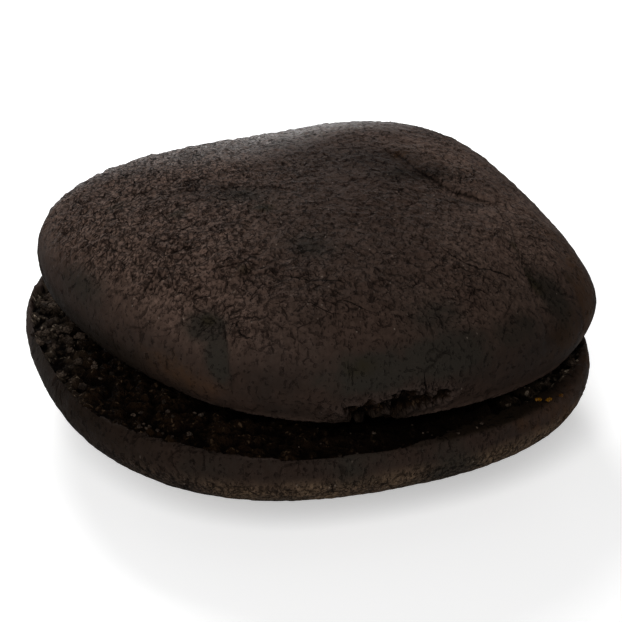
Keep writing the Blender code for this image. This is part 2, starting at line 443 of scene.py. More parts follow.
# Each net: the cells' size, a tear's width and how large its patches are, in millimetres, and how
# much more or less of it shows where the skin is smooth and where it is coarse.
LARGE_NET = (6.0, 0.18, 4.0, -0.08, -0.01)
MIDDLE_NET = (2.2, 0.20, 1.4, -0.09, 0.03)
SMALL_NET = (1.2, 0.20, 0.8, -0.09, 0.08)
TINY_NET = (0.7, 0.15, 0.6, -0.14, 0.05)
PEBBLE_SIZE = 0.60


# %% [markdown]
# ### Skin: relief, cracks, plates and painted glints
#
# Between the tears the skin is pebbly where it dried most. Now and then a pebble is missing, which
# leaves a pit, painted dark as the shade in it, and now and then one is painted pale as a glint, a
# painted highlight. The formula gives the broad relief, which moves the mesh, and the fine relief,
# which is too small for the mesh and goes into the material's bump.

# %% The crackle formula
def crackle_group(kind):
    """Heights are in metres; the other outputs are masks from 0 to 1."""
    group, given, result = new_group(
        "cracked skin", kind,
        [
            ("Place", "NodeSocketVector", None), ("Coarse", "NodeSocketFloat", 0.5),
            ("Stretch", "NodeSocketFloat", 1.0),
        ],
        ["Broad", "Fine", "Cracks", "Tone and groove shade", "Glints"],
    )  # fmt: skip
    f = Skin(group, given["Place"], given["Coarse"], given["Stretch"])
    large, large_curl = f.tears(*LARGE_NET)
    middle, middle_curl = f.tears(*MIDDLE_NET)
    small, small_curl = f.tears(*SMALL_NET)
    tiny, tiny_curl = f.tears(*TINY_NET)
    pebbles = f.cells(f.bent, PEBBLE_SIZE * MM)
    from_centre = pebbles.outputs["Distance"]
    chance = f.parts(pebbles.outputs["Color"])
    round_spot = f.ramp(from_centre, 0.10, 0.26, 1.0, 0.0)
    pits = f.product(round_spot, f.ramp(f.less(chance[0], f.by_coarse(0.90, 0.62)), 0.0, 0.05))
    # Painted highlight: now and then a pebble is painted pale as a glint.
    glints = f.product(round_spot, f.ramp(f.less(chance[1], f.by_coarse(0.99, 0.82)), 0.0, 0.05))
    domes = f.less(0.45, from_centre)
    swells = f.less(0.5, f.cells(f.bent, 1.7 * MM, "SMOOTH_F1", 0.35).outputs["Distance"])
    broad = f.total(
        f.product(swells, f.by_coarse(0.03 * MM, 0.40 * MM)),
        f.product(f.waves(f.place, 4.0 * MM), f.by_coarse(0.25 * MM, 0.90 * MM)),
        f.product(f.waves(f.place, 1.0 * MM, 1.0), f.by_coarse(0.03 * MM, 0.80 * MM)),
        f.product(large, -0.20 * MM),
        f.product(middle, f.by_coarse(0.0, -0.14 * MM)),
    )
    fine = f.total(
        f.product(domes, f.by_coarse(0.01 * MM, 0.16 * MM)),
        f.product(f.waves(f.place, 0.24 * MM, 1.0), f.by_coarse(0.03 * MM, 0.15 * MM)),
        f.product(large, -0.10 * MM),
        f.product(middle, -0.24 * MM),
        f.product(small, -0.24 * MM),
        f.product(tiny, -0.18 * MM),
        f.product(f.total(large_curl, middle_curl), f.by_coarse(0.02 * MM, 0.08 * MM)),
        f.product(f.total(small_curl, tiny_curl), 0.06 * MM),
        f.product(pits, -0.12 * MM),
        f.product(glints, 0.06 * MM),
    )
    cracks = f.largest(
        large, middle, f.product(small, f.by_coarse(0.6, 0.8)),
        f.product(tiny, f.by_coarse(0.4, 0.8)), f.product(pits, 0.8),
    )  # fmt: skip
    # Painted shade: darker towards the grooves between the pebbles, on top of a random tone for each plate.
    groove_shade = f.ramp(from_centre, 0.30, 0.65)
    f.feed(result["Broad"], broad)
    f.feed(result["Fine"], fine)
    f.feed(result["Cracks"], f.product(cracks, f.by_coarse(0.45, 1.0)))
    f.feed(result["Tone and groove shade"], f.total(f.product(chance[2], 0.5), f.product(groove_shade, f.by_coarse(0.1, 0.45))))
    f.feed(result["Glints"], glints)
    return group


# %% [markdown]
# ### The torn crumb
#
# Torn sponge is a heap of clumps with holes between them, and rough at every size. Rounded cells
# make the clumps, the cells' centres make the pores, and noise breaks both up. The holes and low
# spots give a mask of painted shade, and each granule's middle is painted pale as a highlight on
# its tip, mixed with a random tone. The same formula turns the painted edge of the tear into a
# ragged line, with a lip where the skin lifts.

# %% The crumb formula
def crumb_group(kind):
    """Broad and Fine are heights in metres; the other outputs are masks."""
    group, given, result = new_group(
        "torn crumb", kind,
        [("Place", "NodeSocketVector", None), ("Edge", "NodeSocketFloat", 0.0)],
        ["Broad", "Fine", "Hollow shade", "Bare", "Lip", "Bright"],
    )  # fmt: skip
    f = Texture(group)
    place = given["Place"]
    bent = f.wobbled(f.wobbled(place, 1.4 * MM, 1.6 * MM), 0.5 * MM, 0.5 * MM)
    clumps = f.cells(bent, 2.0 * MM)
    bits = f.less(0.45, f.cells(bent, 0.9 * MM).outputs["Distance"])
    grit = f.waves(place, 0.45 * MM, 3.0, 0.7)
    granules = f.cells(f.wobbled(place, 0.5 * MM, 0.7 * MM), 0.75 * MM)
    hole_middles = f.cells(f.wobbled(place, 2 * MM, 1.2 * MM), 2.1 * MM).outputs["Distance"]
    holes = f.ramp(hole_middles, 0.16, 0.42, 1.0, 0.0)
    holes = f.product(holes, f.ramp(f.noise(place, 2.2 * MM, 1.0), 0.42, 0.56))
    broad = f.total(
        f.product(f.waves(place, 4.0 * MM, 2.0, 0.6), 2.4 * MM),
        f.product(f.less(0.5, clumps.outputs["Distance"]), 1.5 * MM),
        f.product(bits, 0.6 * MM),
        f.product(holes, -1.5 * MM),
    )
    domes = f.less(0.45, granules.outputs["Distance"])
    # Painted shade: the low spots, like the holes, go dark in the colour.
    sunk = f.ramp(f.total(broad, f.product(grit, 1.5 * MM)), -0.6 * MM, 0.6 * MM, 1.0, 0.0)
    by_clump = f.ramp(f.parts(clumps.outputs["Color"])[0], 0.1, 0.9, 0.3, 1.8)
    by_granule = f.ramp(f.parts(granules.outputs["Color"])[0], 0.10, 0.60)
    # Painted highlight: each granule is pale in its middle, as if lit on its tip.
    lit_tips = f.ramp(granules.outputs["Distance"], 0.22, 0.42, 1.0, 0.0)
    chips = f.ramp(f.noise(place, 0.35 * MM, 1.0), 0.40, 0.58, 0.35, 1.0)
    edge = f.total(given["Edge"], f.product(f.waves(place, 1.6 * MM, 3.0, 0.6), 0.7))
    f.feed(result["Broad"], broad)
    f.feed(result["Fine"], f.total(f.product(grit, 1.1 * MM), f.product(domes, 0.45 * MM)))
    f.feed(result["Hollow shade"], f.largest(holes, sunk))
    f.feed(result["Bare"], f.ramp(edge, 0.45, 0.55))
    f.feed(result["Lip"], f.product(f.ramp(edge, 0.22, 0.44), f.ramp(edge, 0.46, 0.54, 1.0, 0.0)))
    f.feed(result["Bright"], f.product(by_granule, lit_tips, chips, by_clump))
    return group


# %% Both formulas in both kinds of tree
GEOMETRY_CRACKLE = crackle_group("GeometryNodeTree")
GEOMETRY_CRUMB = crumb_group("GeometryNodeTree")
SHADER_CRACKLE = crackle_group("ShaderNodeTree")
SHADER_CRUMB = crumb_group("ShaderNodeTree")
print("groups:", [group.name for group in bpy.data.node_groups])


# %% [markdown]
# ## Numbers on the mesh
#
# What varies from place to place is painted on the mesh as one number a point, like vertex paint:
# how coarse, pale or torn the cake is there, and where shade and light are painted into its
# colour. The materials read the numbers by name. An image would do the same, but these need no UV
# map and follow the cake if its shape changes.

# %% Reading and painting points
def points_of(cake):
    """The mesh's points, one row each."""
    flat = np.empty(len(cake.data.vertices) * 3)
    cake.data.vertices.foreach_get("co", flat)
    return flat.reshape(-1, 3)


def normals_of(cake):
    """The way that the surface faces at each point."""
    flat = np.empty(len(cake.data.vertices) * 3)
    cake.data.vertex_normals.foreach_get("vector", flat)
    return flat.reshape(-1, 3)


def paint(cake, name, values):
    """Keeps one number a point on the mesh, for the materials to read."""
    layer = cake.data.attributes.get(name) or cake.data.attributes.new(name, "FLOAT", "POINT")
    layer.data.foreach_set("value", values.astype(np.float32))


def wavy(points, size, seed=0.0):
    """Cheap smooth noise between about -1 and 1, from crossed waves."""
    height = np.zeros(len(points))
    for wave in range(6):
        way = np.array([math.cos(wave * 2.4), math.sin(wave * 2.4), math.cos(wave * 1.3 + 1)])
        length = size * (0.7 + 0.6 * ((wave * 0.37) % 1.0))
        height += np.sin(points @ way * math.tau / length + wave * 1.9 + seed)
    return height / 2.5


# %% Patches
def patches(points, node, spots):
    """The strongest of several egg-shaped patches, each given by its middle, long way, half
    lengths in millimetres and strength."""
    mask = np.zeros(len(points))
    for share, along, radii, amount in spots:
        spot = ellipse(points, on_cake(node, share), along, (radii[0] * MM, radii[1] * MM))
        mask = np.maximum(mask, amount * spot)
    return mask


# %% [markdown]
# ## Folds and long tears
#
# Where a soft cake is pressed, its skin folds: a hollow on one side that ends in a sharp line, with
# the skin standing proud on the other. Long tears are thin lines. Both follow a line through a few
# corners. The mesh is too coarse to hold a tear a fifth of a millimetre wide, so what is painted on
# it is how far across the line each point lies, which is smooth, and the material draws the line
# near black, as painted shade in the crease or tear.

# %% Folds and tears
LINE_REACH = 3 * MM


def across_line(points, corners, side):
    """How far each point lies across a line through a few corners, positive towards a side, and
    how far away the line is."""
    best = np.full(len(points), np.inf)
    across = np.zeros(len(points))
    for start, end in zip(corners[:-1], corners[1:]):
        way = end - start
        share = np.clip((points - start) @ way / (way @ way), 0, 1)
        offset = points - start - share[:, None] * way
        distance = np.linalg.norm(offset, axis=1)
        nearer = distance < best
        best[nearer] = distance[nearer]
        across[nearer] = (np.sign(offset @ side) * distance)[nearer]
    return across, best


def fold_depth(across, nearest, width, depth):
    """A hollow on the positive side of a line, cut off sharply at the line itself."""
    hollow = np.exp(-((across / width) ** 2)) * smoothstep(-0.5 * MM, 0.2 * MM, across)
    return depth * hollow * smoothstep(1.6 * width, 0, nearest - np.abs(across))


def folded(cake, node, folds):
    """Paints how far across the nearest line each point lies and how dark the line is, and
    returns how deep the folds are."""
    points = points_of(cake)
    deep = np.zeros(len(points))
    line = np.full(len(points), LINE_REACH)
    shows = np.zeros(len(points))
    for shares, side, hollow, depth, amount in folds:
        corners = [on_cake(node, share) for share in shares]
        beside, nearest = across_line(points, corners, np.array(side, float))
        deep = np.maximum(deep, fold_depth(beside, nearest, hollow * MM, depth * MM))
        closer = nearest < np.abs(line)
        line[closer] = beside[closer]
        shows = np.maximum(shows, amount * smoothstep(1.8 * MM, 1.2 * MM, nearest))
    paint(cake, "line", line / MM)
    paint(cake, "shows", shows)
    print(cake.name, "has", len(folds), "folds and tears, up to", round(deep.max() / MM, 2), "mm deep")
    return deep


# %% The upper cake's folds
# Each fold: its line, the side its hollow is on, the hollow's width and depth in mm, and how dark
# its line is.
UPPER_FOLDS = (
    # The crease at the left of the front, and the two ends of its hollow's upper edge.
    ([(-0.31, -0.85, 0.34), (-0.29, -0.90, 0.18), (-0.285, -0.93, -0.01), (-0.28, -0.95, -0.27)],
     (-1, 0, 0), 2.6, 0.55, 0.35),
    ([(-0.45, -0.79, 0.22), (-0.41, -0.81, 0.28), (-0.37, -0.82, 0.31), (-0.32, -0.84, 0.34)],
     (0, -0.5, -1), 1.2, 0.20, 0.15),
    ([(-0.26, -0.86, 0.37), (-0.25, -0.89, 0.29), (-0.22, -0.91, 0.27)], (0, -1, 0), 0.8, 0.1, 0.9),
    # The crease down the right end.
    ([(0.64, -0.04, 0.56), (0.67, -0.11, 0.50), (0.69, -0.23, 0.42), (0.70, -0.34, 0.30),
      (0.73, -0.42, 0.13), (0.75, -0.49, -0.04), (0.78, -0.54, -0.22)],
     (1, 0, 0), 3.4, 0.65, 0.45),
    # The fold at the back right, under a ridge.
    ([(0.30, 0.18, 0.88), (0.36, 0.08, 0.83), (0.43, 0.03, 0.77), (0.49, -0.02, 0.70),
      (0.54, -0.03, 0.65), (0.60, -0.03, 0.60)],
     (-0.5, -1, 0), 2.4, 0.65, 0.7),
    # Long tears on the plateau.
    ([(0.38, -0.42, 0.62), (0.46, -0.48, 0.55), (0.55, -0.50, 0.45), (0.66, -0.47, 0.33)],
     (0, -1, 0), 1.2, 0.15, 0.9),
    ([(-0.30, -0.20, 0.92), (-0.22, -0.18, 0.94), (-0.12, -0.20, 0.95)], (0, -1, 0), 1.6, 0.30, 0.8),
    ([(-0.10, -0.72, 0.70), (-0.02, -0.74, 0.68), (0.08, -0.73, 0.69)], (0, -1, 0), 1.0, 0.10, 0.9),
    ([(0.10, -0.80, 0.55), (0.20, -0.82, 0.50)], (0, -1, 0), 1.0, 0.10, 0.9),
    ([(-0.02, -0.82, 0.52), (0.04, -0.85, 0.46)], (0, -1, 0), 1.0, 0.10, 0.9),
    # Short ones at the end of the torn patch.
    ([(0.36, -0.89, -0.33), (0.365, -0.88, -0.55)], (1, 0, 0), 0.6, 0.2, 1.0),
    ([(0.38, -0.87, -0.42), (0.43, -0.86, -0.48), (0.46, -0.84, -0.50)], (0, 0, -1), 0.6, 0.2, 1.0),
)  # fmt: skip


# %% [markdown]
# ## The upper cake's marks
#
# The skin is thick, pale and grainy on the plateau, above all at the two ends, and smooth and
# darker round the skirt. Steam and fingers left a few hollows: one with a crease at the left of
# the front, one at the right end, and a wide greyish band low at the front. Below that band the
# skin has stuck to something and cracked away in bits. Shade is painted into the hollows, under
# the edge at the left and in the gap under the cake, and light on the lip at the lower right.

# %% The upper cake's patches
# Each patch: its middle, its long way, its half lengths in mm, and its strength.
UPPER_TORN = (
    ((0.17, -0.96, -0.56), (1, 0.2, 0), (7, 3.4), 0.64),
    ((0.31, -0.92, -0.54), (1, 0.4, 0), (7, 3.8), 0.64),
    ((0.42, -0.86, -0.54), (1, 0.5, 0), (4, 2.6), 0.56),
    ((0.20, -0.93, -0.74), (1, 0.3, 0), (7, 2.2), 0.64),
)
UPPER_PALE_RIGHT = (((0.45, 0.25, 0.80), (1, -0.3, 0), (12, 5), 0.35),)
UPPER_PALE_BACK = (((-0.05, 0.50, 0.88), (1, 0, 0), (22, 6), 0.35),)
# Painted shade: the hollows of the folds at the right end and on the plateau, and the lower edge of the
# torn patch.
UPPER_SHADE_PATCHES = (
    ((0.66, -0.64, -0.08), (0.8, 0.5, 0), (11, 4.0), 0.45),
    ((0.80, -0.40, 0.00), (0.3, -0.4, -0.8), (7, 3.0), 0.45),
    ((0.90, -0.38, -0.12), (0.2, -0.3, -0.9), (9, 5), 0.45),
    ((0.62, -0.55, 0.15), (0.8, 0.5, 0), (8, 4.5), 0.45),
    ((0.84, -0.51, -0.33), (0.4, -0.3, -0.8), (6, 4), 0.6),
    ((0.20, -0.93, -0.72), (1, 0.2, 0), (7, 1.8), 1.2),
    ((0.22, 0.12, 0.90), (1, 0.1, 0), (8, 4), 0.6),
    ((0.38, 0.06, 0.83), (1, 0.4, 0), (7, 3), 0.7),
    ((0.52, -0.10, 0.66), (1, 0.2, 0), (6, 1.4), 0.5),
    ((-0.42, -0.20, 0.95), (1, 0, 0), (8, 3), 0.45),
)
# Grey: the patches in the dents and hollows are painted shade; the band low at the front is the skin's own
# grey.
UPPER_GREY_AND_SHADE = (
    ((-0.325, -0.91, 0.05), (0.1, -0.5, -0.9), (6.5, 1.9), 1.1),
    ((-0.36, -0.84, 0.28), (0.6, -0.3, 0.1), (4.0, 2.6), 1.1),
    ((0.82, -0.42, -0.05), (0.3, -0.4, -0.8), (7.5, 2.8), 0.9),
    ((0.66, -0.65, -0.10), (0.8, 0.5, 0), (8, 3.0), 0.7),
    ((0.76, -0.40, 0.14), (0.3, -0.4, -0.8), (4.5, 1.8), 0.7),
    ((0.20, -0.94, -0.10), (1, 0.2, 0), (9, 3.4), 1.0),
    ((0.42, -0.82, -0.10), (1, 0.5, 0), (9, 4.0), 1.0),
    ((0.40, -0.76, 0.25), (1, 0.3, 0.3), (8, 4.0), 0.6),
    ((-0.02, -0.57, 0.84), (1, 0, 0), (5, 4), 0.6),
    ((0.28, 0.00, 0.88), (1, 0.3, 0), (7, 3), 0.5),
    ((-0.80, -0.45, 0.15), (0.5, -0.6, 0), (9, 3.5), 0.6),
    ((-0.26, -0.26, 0.95), (1, 0, 0), (7, 4), 0.6),
)
UPPER_SCORCHED = (
    ((-0.46, -0.84, -0.30), (0.8, -0.5, -0.1), (9, 3.5), 0.55),
    ((0.95, -0.33, -0.30), (0.1, -0.4, -0.9), (9, 2.6), 1.2),
    ((0.94, -0.20, 0.00), (0.2, 0.4, 0.9), (9, 4.0), 0.8),
    ((0.85, -0.10, 0.25), (0.3, 0.4, -0.8), (7, 3.0), 0.6),
    ((0.88, -0.48, -0.45), (0.7, 0.5, 0), (8, 4.0), 0.5),
    ((0.31, 0.18, 0.87), (1, 0.3, 0), (1.6, 0.9), 1.2),
    ((0.28, -0.32, 0.86), (1, 0.3, 0), (1.2, 0.7), 1.0),
    ((-0.75, -0.62, -0.35), (0.8, -0.5, -0.1), (5, 2.0), 0.4),
)
UPPER_OLIVE = (
    ((-0.18, -0.36, 0.96), (1, 0, 0), (2.0, 1.5), 1.0),
    ((-0.70, -0.20, 0.75), (1, 0, 0), (2.2, 1.5), 0.7),
    ((-0.47, -0.35, 0.90), (1, 0, 0), (2.0, 2.0), 0.7),
    ((-0.24, -0.69, 0.77), (1, 0, 0), (1.5, 1.2), 0.7),
    ((-0.36, -0.82, 0.34), (1, 0, 0), (1.6, 1.0), 0.7),
    ((0.75, -0.41, 0.14), (0.3, -0.4, -0.8), (4.0, 1.2), 0.9),
    ((0.69, -0.30, 0.40), (0.3, -0.4, -0.8), (3.0, 1.0), 0.8),
    ((0.89, -0.30, 0.00), (0.3, 0.4, 0.8), (4.0, 1.5), 0.5),
    ((0.16, -0.95, -0.02), (1, 0.2, 0), (5.0, 2.0), 0.5),
)


# %% Painting the upper cake
def paint_upper_cake():
    points = points_of(upper)
    normals = normals_of(upper)
    low, high = (np.array(corner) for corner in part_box("cake_top"))
    across = (points[:, 0] - (low[0] + high[0]) / 2) / (high[0] - low[0]) * 2

    def spots(given):
        return patches(points, "cake_top", given)

    # The underside is torn off the lower cake, and so is the patch low at the front.
    under = np.clip((-normals[:, 2] - 0.55) / 0.5, 0, 1)
    torn = spots(UPPER_TORN)
    paint(upper, "edge", np.maximum(under, torn))

    # Pale on top, most of all at both ends, and on the left skirt. On the lip at the lower right the
    # pale is painted light: the glow that the white floor throws up onto it.
    upward = smoothstep(0.2, 0.95, normals[:, 2]) * (1 - 0.3 * smoothstep(-0.55, -0.85, normals[:, 0]))
    ends = 0.34 + 0.78 * smoothstep(0.0, -0.5, across) + 0.42 * smoothstep(0.25, 0.75, across)
    lip = smoothstep(-0.40, -0.72, normals[:, 2]) * smoothstep(-0.35, 0.1, across)
    left_skirt = smoothstep(-0.2, -0.5, across) * smoothstep(-0.5, 0.0, normals[:, 2])
    floor_lit_lip_and_skirt = 0.45 * lip * (1 - torn) + 0.10 * left_skirt
    top = upward * (ends + spots(UPPER_PALE_RIGHT) + spots(UPPER_PALE_BACK))
    paint(upper, "pale_and_lit", top + floor_lit_lip_and_skirt)

    # Coarse on the plateau, more so to the left, and round the tear.
    left = smoothstep(0.1, -0.8, across)
    coarse = smoothstep(0.30, 0.95, normals[:, 2]) * (0.56 + 0.39 * left) + 0.15 * left
    coarse = np.maximum(coarse, 1.3 * torn)
    paint(upper, "coarse", np.clip(coarse + 0.06 * wavy(points, 14 * MM), 0, 1))

    # A dull gloss where the plateau turns down at the back.
    backward = smoothstep(0.08, 0.38, normals[:, 1]) * smoothstep(0.70, 0.45, normals[:, 1])
    backward = backward * smoothstep(0.35, -0.15, normals[:, 0])
    middle = np.exp(-(((across + 0.05) / 0.30) ** 2))
    all_over = 0.025 * smoothstep(-0.2, 0.4, normals[:, 2])
    paint(upper, "gloss", all_over + (0.7 + 0.8 * middle) * backward)

    # The crumb that shows in the tear is moist, and painted about half way to near black as shade.
    paint(upper, "moist", np.ones(len(points)))
    paint(upper, "deep", np.full(len(points), 0.55))

    # Painted shade: under the edge where it turns down at the left, and in the shade patches.
    shade_under_left_edge = smoothstep(0.20, -0.25, normals[:, 2]) * smoothstep(-0.35, -0.75, across)
    paint(upper, "painted_shade", np.maximum(shade_under_left_edge, spots(UPPER_SHADE_PATCHES)))
    # Grey: painted shade in the hollows, and the skin's own grey in the band low at the front.
    paint(upper, "grey_and_shade", spots(UPPER_GREY_AND_SHADE))
    paint(upper, "scorched", spots(UPPER_SCORCHED))
    paint(upper, "olive", spots(UPPER_OLIVE))
    print(upper.name, "is torn over", round(100 * np.mean(torn > 0.5), 1), "% of its points")


# %% [markdown]
# ## The lower cake's marks
#
# It lies on its crown, so its smooth skin is the rim that shows. Where it turns under, a golden
# glow is painted on: the light that the white floor throws up. The crumb starts where the top turns
# level, but further in at the front right, where the skin came away with it. There it is moist,
# and it is painted nearly black as the shade under the upper cake; the rim beside it is painted
# darker as shade too.

# %% Painting the lower cake
def paint_lower_cake():
    points = points_of(lower)
    normals = normals_of(lower)
    low, high = (np.array(corner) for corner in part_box("cake_bottom"))
    share = (points - (low + high) / 2) / (high - low) * 2
    out = np.hypot(share[:, 0], share[:, 1])
    around = np.degrees(np.arctan2(share[:, 1], share[:, 0]))

    def sector(middle, spread):
        """1 at an angle round the cake, in degrees, and less to both sides."""
        return np.exp(-(((around - middle) / spread) ** 2))

    reach = 0.985 - 0.085 * sector(-50, 24)
    level = np.clip((normals[:, 2] - 0.66) / 0.34, 0, 1)
    within = np.clip(0.5 + (reach - out) * (high[0] - low[0]) / 2 / (4 * MM), 0, 1)
    inner = smoothstep(high[2] - 7 * MM, high[2] - 4 * MM, points[:, 2])
    paint(lower, "edge", np.minimum(level, within) * inner)

    bottom = smoothstep(0.0, -0.45, normals[:, 2])
    right = smoothstep(0.55, 0.95, share[:, 0])
    left = smoothstep(-0.70, -0.95, share[:, 0])
    left_side = sector(-140, 28) * smoothstep(0.75, 0.9, out)
    front_right = sector(-40, 32) * smoothstep(1.03, 0.94, out) * smoothstep(0.3, 0.8, normals[:, 2])
    mottle = wavy(points, 17 * MM, 4.0)
    # Painted light: the warm glow that the white floor throws up onto the underside, weaker at the front
    # left and stronger at the right.
    lit_from_below = 0.70 + 0.25 * mottle - left_side + 0.2 * right
    paint(lower, "coarse", np.clip(0.22 + 0.05 * wavy(points, 14 * MM) + 0.60 * bottom, 0, 1))
    # Paler towards the bottom: painted light from the white floor.
    paint(lower, "pale_and_lit", np.clip(0.02 + 0.20 * bottom + 0.05 * right + 0.05 * left, 0, 1))
    paint(lower, "lit_from_below", bottom * np.clip(lit_from_below, 0, 1))
    paint(lower, "moist", 1.0 - np.maximum(0.8 * right, left))
    # Painted shade on the level rim at the front right, under the upper cake, and darker at the front left
    # of the rim.
    paint(lower, "painted_shade", np.maximum(1.3 * front_right, 0.75 * left_side))
    # Painted shade: the crumb at the front right, under the upper cake, goes near black.
    paint(lower, "deep", sector(-62, 36) * smoothstep(0.98, 0.91, out))
    # On this cake the grey is a random tone only.
    paint(lower, "grey_and_shade", np.clip(0.15 + 0.35 * wavy(points, 22 * MM, 2.0), 0, 1) * (1 - right))
    paint(lower, "gloss", np.full(len(points), 0.004))
    paint(lower, "scorched", np.clip(0.7 * right + 0.2 * mottle, 0, 1) * 0.7)
    print(lower.name, "reaches", round(np.max(out), 2), "half widths out")


# %% Both cakes painted
paint_upper_cake()
upper_folds = folded(upper, "cake_top", UPPER_FOLDS)
paint_lower_cake()


# %% [markdown]
# ## Relief
#
# Bump alone would leave the outline smooth, so the broad part of both formulas moves the mesh
# itself. A modifier with the formulas' own nodes measures them at every point, and the mesh is
# then moved once, along its normals. Where the cakes nearly touch, the relief stays within the gap.

# %% Measuring both formulas at every point
def measured(cake, stretch):
    """Runs the two formulas on a cake's points and returns what they give there."""
    tree = bpy.data.node_groups.new("measure " + cake.name, "GeometryNodeTree")
    tree.interface.new_socket("Geometry", in_out="INPUT", socket_type="NodeSocketGeometry")
    tree.interface.new_socket("Geometry", in_out="OUTPUT", socket_type="NodeSocketGeometry")
    f = Formula(tree)
    geometry = f.node("NodeGroupInput").outputs[0]

    def stored(name, kind="FLOAT"):
        read = f.node("GeometryNodeInputNamedAttribute", data_type=kind)
        read.inputs["Name"].default_value = name
        return read.outputs["Attribute"]

    place = stored("rest", "FLOAT_VECTOR")
    crackle = f.node("GeometryNodeGroup", node_tree=GEOMETRY_CRACKLE)
    f.feed(crackle.inputs["Place"], place)
    f.feed(crackle.inputs["Coarse"], stored("coarse"))
    f.feed(crackle.inputs["Stretch"], stretch)
    crumb = f.node("GeometryNodeGroup", node_tree=GEOMETRY_CRUMB)
    f.feed(crumb.inputs["Place"], place)
    f.feed(crumb.inputs["Edge"], stored("edge"))
    wanted = {
        "skin": crackle.outputs["Broad"], "crumb": crumb.outputs["Broad"],
        "bare": crumb.outputs["Bare"], "lip": crumb.outputs["Lip"],
    }  # fmt: skip
    for name, socket in wanted.items():
        write = f.node("GeometryNodeStoreNamedAttribute", data_type="FLOAT", domain="POINT")
        write.inputs["Name"].default_value = name
        f.feed(write.inputs["Geometry"], geometry)
        f.feed(write.inputs["Value"], socket)
        geometry = write.outputs["Geometry"]
    f.feed(f.node("NodeGroupOutput").inputs[0], geometry)
    modifier = cake.modifiers.new("measure", "NODES")
    modifier.node_group = tree
    bpy.context.view_layer.update()
    done = bpy.data.meshes.new_from_object(cake.evaluated_get(bpy.context.evaluated_depsgraph_get()))
    cake.modifiers.clear()
    heights = {}
    for name in wanted:
        values = np.empty(len(done.vertices))
        done.attributes[name].data.foreach_get("value", values)
        heights[name] = values
    bpy.data.meshes.remove(done)
    return heights


# %% Giving the cakes their relief
CRUMB_SINKS = 0.8 * MM
CRUMB_LOWEST = -2.6 * MM
CRUMB_HIGHEST = 1.2 * MM
GAP_SHARE = 0.45
ROOM_SOUGHT = 5 * MM
LIP_RISES = 0.25 * MM
CALM_UNDERNEATH = 0.75


def relieved(cake, folds, other, stretch):
    """Moves every point along its normal: skin where it is whole, crumb where it is torn. Where
    the other cake lies close, the relief stays within half the gap."""
    points = points_of(cake)
    normals = normals_of(cake)
    got = measured(cake, stretch)
    bare = got["bare"]
    tree = BVHTree.FromObject(other, bpy.context.evaluated_depsgraph_get())
    room = np.full(len(points), ROOM_SOUGHT)
    for i in np.nonzero(bare > 0)[0]:
        distance = tree.find_nearest(Vector(points[i]), ROOM_SOUGHT)[3]
        room[i] = ROOM_SOUGHT if distance is None else distance
    crumb = np.clip(got["crumb"] - CRUMB_SINKS, CRUMB_LOWEST, np.minimum(CRUMB_HIGHEST, GAP_SHARE * room))
    calm = 1.0 - CALM_UNDERNEATH * smoothstep(0.0, -0.4, normals[:, 2])
    height = (calm * got["skin"] + LIP_RISES * got["lip"]) * (1 - bare) + crumb * bare - folds
    points = points + normals * height[:, None]
    points[:, 2] = np.maximum(points[:, 2], LOW[2])
    cake.data.vertices.foreach_set("co", points.ravel())
    cake.data.shade_smooth()
    cake.data.update()
    print(cake.name, "relief from", round(height.min() / MM, 2), "to", round(height.max() / MM, 2), "mm")


# How much the cells' height is scaled. Below 1, the cracks down the sides stand upright.
UPPER_STRETCH = 0.55
LOWER_STRETCH = 0.40
relieved(lower, 0.0, upper, LOWER_STRETCH)
relieved(upper, upper_folds, lower, UPPER_STRETCH)


# %% [markdown]
# ## The cakes' colours
#
# The skin is laid up like glazes on a model: a dark brown base, a pale floury bloom, reddish
# blotches, grey and scorched patches with ragged outlines, and last the cracks. Painted light and
# shade go in among these layers: the white floor's glow on the lip and on the underside, pale
# glints, shade in the grooves between the pebbles, in the hollows and the gap, and nearly black
# shade in the cracks. Crumb has a dry and a moist version. The colours are linear, and darker than
# they look in the light.

# %% Colours of skin and crumb
DARK_SKIN = (0.0190, 0.0132, 0.0104, 1)
# Pale: a floury bloom, and also painted light where the floor lights the cake from below.
PALE_AND_LIT_SKIN = (0.1560, 0.1000, 0.0770, 1)
REDDER_SKIN = (0.045, 0.025, 0.018, 1)
# Painted light: the warm glow of the white floor on the underside.
FLOOR_LIT_SKIN = (0.165, 0.108, 0.064, 1)
# Painted shade in the grooves between pebbles, mixed with a random tone for each plate.
DARKER_SKIN = (0.014, 0.0080, 0.0055, 1)
# Grey: the skin's own grey, and painted shade where it lies in hollows.
GREY_AND_SHADED_SKIN = (0.0190, 0.0168, 0.0132, 1)
SCORCHED_SKIN = (0.055, 0.025, 0.010, 1)
OLIVE_SKIN = (0.018, 0.014, 0.006, 1)
# Painted highlight: glints on single pebbles.
GLINT_COLOUR = (0.24, 0.190, 0.155, 1)
LIP_COLOUR = (0.045, 0.031, 0.025, 1)
# Painted shade, where the cake lies in shade.
PAINTED_SHADE_SKIN = (0.0080, 0.0050, 0.0030, 1)
# Painted shade inside cracks, pits, tears and fold lines.
CRACK_SHADE = (0.0012, 0.0007, 0.0004, 1)
# The light crumb colours show on the granules' tips: partly tone, partly painted highlight.
CRUMB_LIGHT = (0.550, 0.440, 0.330, 1)
CRUMB_DARK = (0.060, 0.044, 0.031, 1)
MOIST_LIGHT = (0.095, 0.058, 0.032, 1)
MOIST_DARK = (0.015, 0.0078, 0.0036, 1)
# Painted shade in the crumb.
CRUMB_SHADE_COLOUR = (0.0016, 0.0006, 0.0002, 1)


